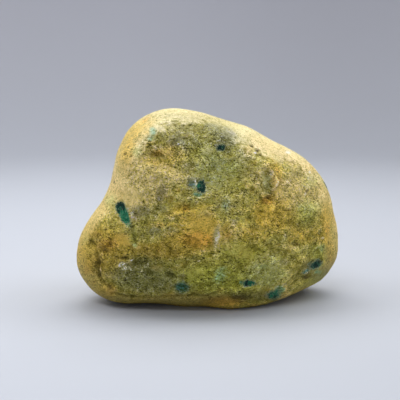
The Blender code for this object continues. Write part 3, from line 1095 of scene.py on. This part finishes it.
def grainStops(tree, found):
    # light and dark grains: most are slight, a few are strong, and more of those are dark. The strokes share
    # their noise with the bump, so their dark is partly painted shade in its dips and their light partly
    # painted light on its tops
    stops, strokes = stoneStops, found["strokes"]
    grains = total(
        tree,
        centred(tree, found["fine"], stops["fine"]),
        centred(tree, found["cells"], stops["cells"]),
        centred(tree, strokes, stops["strokes"]),
        ramp(tree, strokes, 0.43, 0.27, 0.0, stops["dark strokes"]),
        ramp(tree, strokes, 0.60, 0.78, 0.0, stops["light strokes"]),
        calc(tree, "MULTIPLY", found["cracks"], stops["cracks"]),
    )
    patches = ramp(tree, found["bleached"], 0.35, 0.65, 0.6, 1.4)
    return calc(tree, "MULTIPLY", grains, calc(tree, "MULTIPLY", attributeNode(tree, "grain"), patches))


def stoneTones(tree, found):
    # what the colour is multiplied by: grains, clouds, and painted light on the bumps and painted shade in the
    # hollows of the relief
    stops, rough = stoneStops, found["rough"]
    grains = grainStops(tree, found)
    small = centred(tree, found["small"], stops["small clouds"])
    clouds = total(tree, small, centred(tree, found["middle"], stops["middle clouds"]))
    lift = total(
        tree,
        grains,
        calc(tree, "MULTIPLY", calc(tree, "MINIMUM", grains, 0.0), 0.3),
        calc(tree, "MULTIPLY", clouds, ramp(tree, rough, 0.0, 1.0, 0.65, 1.0)),
        centred(tree, attributeNode(tree, "cavity"), stops["cavity"]),
        centred(tree, attributeNode(tree, "hollow"), stops["hollow"]),
        stops["all over"],
    )
    calmer = ramp(tree, attributeNode(tree, "pale"), 0, 1, 1.0, 0.65)  # pale places vary less
    lift = calc(tree, "MULTIPLY", lift, calmer)
    lift = calc(tree, "MAXIMUM", calc(tree, "MINIMUM", lift, stops["lightest"]), stops["darkest"])
    tone = calc(tree, "POWER", 2.0, lift)
    # blue moves further, most of all in the darks, and has noise of its own on the rough face
    deeper = calc(tree, "MULTIPLY", calc(tree, "MINIMUM", lift, 0.0), 0.5)
    blueLift = calc(tree, "MULTIPLY_ADD", lift, 1.7, deeper)
    ownNoise = total(tree, centred(tree, found["blue"], stops["blue noise"]), stops["blue on the face"])
    blueLift = calc(tree, "ADD", blueLift, calc(tree, "MULTIPLY", ownNoise, rough))
    return threeTones(tree, tone, tone, calc(tree, "POWER", 2.0, blueLift))


def paintCrystals(tree, found, colour):
    # a pale rim, then a dark body with brighter green and thin pale streaks in it
    fine, grown, paints = found["fine"], found["grown"], crystalColours
    uneven = total(tree, attributeNode(tree, "crystal"), centred(tree, fine, 1.0))
    inside = total(tree, uneven, centred(tree, found["small"], 0.7))
    rim = calc(tree, "MULTIPLY", ramp(tree, inside, 0.2, 0.42), 0.5)
    colour = mixColour(tree, rim, colour, paints["rim"])
    depth = total(tree, attributeNode(tree, "crystal tone"), centred(tree, fine, 1.6))
    depth = total(tree, depth, centred(tree, grown, 2.4))
    body = mixColour(tree, ramp(tree, depth, 0.0, 1.0), paints["deep"], paints["emerald"])
    offStreak = calc(tree, "ABSOLUTE", calc(tree, "SUBTRACT", grown, 0.58))
    body = mixColour(tree, ramp(tree, offStreak, 0.03, 0.0, 0.0, 0.5), body, paints["rim"])
    return mixColour(tree, ramp(tree, inside, 0.42, 0.56), colour, body)


def grainRelief(tree, found):
    relief = total(
        tree,
        centred(tree, found["fine"], grainHeights["fine"]),
        centred(tree, found["strokes"], grainHeights["strokes"]),
        calc(tree, "MULTIPLY", found["cracks"], grainHeights["cracks"]),
    )
    relief = calc(tree, "MULTIPLY", relief, ramp(tree, found["rough"], 0.0, 1.0, 0.35, 1.0))
    return addNode(tree, "Bump", {"Height": relief, "Distance": 0.001, "Strength": 1.0}).outputs[0]


def stoneMaterial():
    material = bpy.data.materials.new("jadeite")
    material.use_nodes = True
    tree = material.node_tree
    found = readStone(tree)
    colour = softFields(tree, found, skinAndFace(tree, found))
    colour = mixColour(tree, 1.0, colour, stoneTones(tree, found), "MULTIPLY")
    # painted shade towards the foot
    footShadeMix = mixColour(tree, ramp(tree, found["height"], 0.16, 0.03), (1, 1, 1, 1), paintedFootShade)
    colour = mixColour(tree, 1.0, colour, footShadeMix, "MULTIPLY")
    shader = tree.nodes["Principled BSDF"]
    feed(tree, shader.inputs["Base Color"], paintCrystals(tree, found, colour))
    feed(tree, shader.inputs["Roughness"], ramp(tree, found["rough"], 0.0, 1.0, 0.55, 0.8))
    feed(tree, shader.inputs["Normal"], grainRelief(tree, found))
    shader.inputs["Specular IOR Level"].default_value = 0.3
    return material


for index, (name, field) in enumerate(colourFields.items()):
    shift = index * 7.3  # so that no two fields share their noise
    keepAttribute(stone, name, spread(stone, seen, ofFront, field, shift))
inCrystal, crystalTone = crystalShare(stone)
keepAttribute(stone, "crystal", inCrystal)
keepAttribute(stone, "crystal tone", crystalTone)
stone.data.materials.append(stoneMaterial())
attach(stone, "root")
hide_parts("boulder")
print("stone painted")


# The floor and its pale surround, one round sweep
backdrop = {
    "radius": 2.4,
    "height": 2.6,
    "sweep": 1.1,
    "floor": paint(197, 201, 211),
    "wall": paint(224, 224, 232),
    # painted light: the paper is painted lighter on the left and darker on the right, as if lit from the left
    "left to right": (1.02, 0.90),  # how light the floor is on each side
}


def roundSweep():
    bpy.ops.mesh.primitive_cylinder_add(
        vertices=96,
        radius=backdrop["radius"],
        depth=backdrop["height"],
        location=(0, 0, backdrop["height"] / 2),
    )
    sweep = bpy.context.object
    sweep.name = "backdrop"
    bpy.ops.object.mode_set(mode="EDIT")
    bpy.ops.mesh.select_all(action="DESELECT")
    mesh = bmesh.from_edit_mesh(sweep.data)
    for face in mesh.faces:
        face.select_set(face.normal.z > 0.5)
    bmesh.update_edit_mesh(sweep.data)
    bpy.ops.mesh.delete(type="FACE")
    bpy.ops.mesh.select_all(action="SELECT")
    bpy.ops.mesh.flip_normals()
    bpy.ops.object.mode_set(mode="OBJECT")
    applyModifier(
        sweep, "Round", "BEVEL", width=backdrop["sweep"], segments=24, limit_method="ANGLE", angle_limit=1.0
    )
    onlySelect(sweep)
    bpy.ops.object.transform_apply(location=True, rotation=False, scale=False)
    bpy.ops.object.shade_smooth()
    sweep.data.materials.append(sweepMaterial())


def sweepMaterial():
    material = bpy.data.materials.new("matt paper")
    material.use_nodes = True
    tree = material.node_tree
    place = addNode(tree, "TexCoord").outputs["Object"]
    x, y, z = addNode(tree, "SeparateXYZ", {0: place}).outputs
    squares = calc(tree, "ADD", calc(tree, "POWER", x, 2.0), calc(tree, "POWER", y, 2.0))
    far = calc(tree, "ADD", calc(tree, "SQRT", squares), z)
    # painted light: the paper is painted lighter away from the stone and up the wall
    colour = mixColour(tree, ramp(tree, far, 0.9, 3.6), backdrop["floor"], backdrop["wall"])
    # painted light: the paper is painted darker towards the right
    shade = ramp(tree, x, -0.3, 0.5, *backdrop["left to right"])
    colour = mixColour(tree, 1.0, colour, threeTones(tree, shade, shade, shade), "MULTIPLY")
    shader = tree.nodes["Principled BSDF"]
    feed(tree, shader.inputs["Base Color"], colour)
    shader.inputs["Roughness"].default_value = 0.9
    return material


roundSweep()

# Soft boxes: place, size, power in watts and colour. They all face the middle of the stone.
softBoxes = {
    "overhead": {"at": (0.0, 0.4, 1.5), "size": (1.5, 1.3), "power": 19.3, "colour": (1.0, 1.0, 0.96)},
    "left": {"at": (-1.15, 0.0, 1.4), "size": (0.9, 0.9), "power": 8, "colour": (1.0, 1.0, 1.0)},
    "front": {"at": (-0.35, -1.2, 1.6), "size": (0.8, 0.5), "power": 6.6, "colour": (1.0, 1.0, 1.0)},
    "right": {"at": (1.15, 0.1, 1.4), "size": (0.9, 0.9), "power": 8.5, "colour": (1.0, 1.0, 1.0)},
}
lampsFace = Vector((0, 0, 0.09))
roomLight = {"colour": (0.80, 0.86, 1.0, 1.0), "strength": 0.08}


def addSoftBox(name, at, size, power, colour):
    bpy.ops.object.light_add(type="AREA", location=at)
    lamp = bpy.context.object
    lamp.name = name
    lamp.data.shape = "RECTANGLE"
    lamp.data.size, lamp.data.size_y = size
    lamp.data.energy = power
    lamp.data.color = colour
    lamp.rotation_mode = "QUATERNION"
    lamp.rotation_quaternion = (lampsFace - Vector(at)).to_track_quat("-Z", "Y")
    lamp.visible_camera = False


for name, box in softBoxes.items():
    addSoftBox(name, **box)

world = bpy.data.worlds.new("soft room")
world.use_nodes = True
background = world.node_tree.nodes["Background"]
background.inputs["Color"].default_value = roomLight["colour"]
background.inputs["Strength"].default_value = roomLight["strength"]
bpy.context.scene.world = world
bpy.context.scene.view_settings.view_transform = "Standard"

eye, right, up, back = viewFrom(0)
bpy.ops.object.camera_add(location=eye)
camera = bpy.context.object
camera.rotation_mode = "QUATERNION"
camera.rotation_quaternion = (-back).to_track_quat("-Z", "Y")
camera.data.lens = look["lens"]
camera.data.sensor_width = look["sensor"]
bpy.context.scene.camera = camera
print("stage, lights and camera ready")
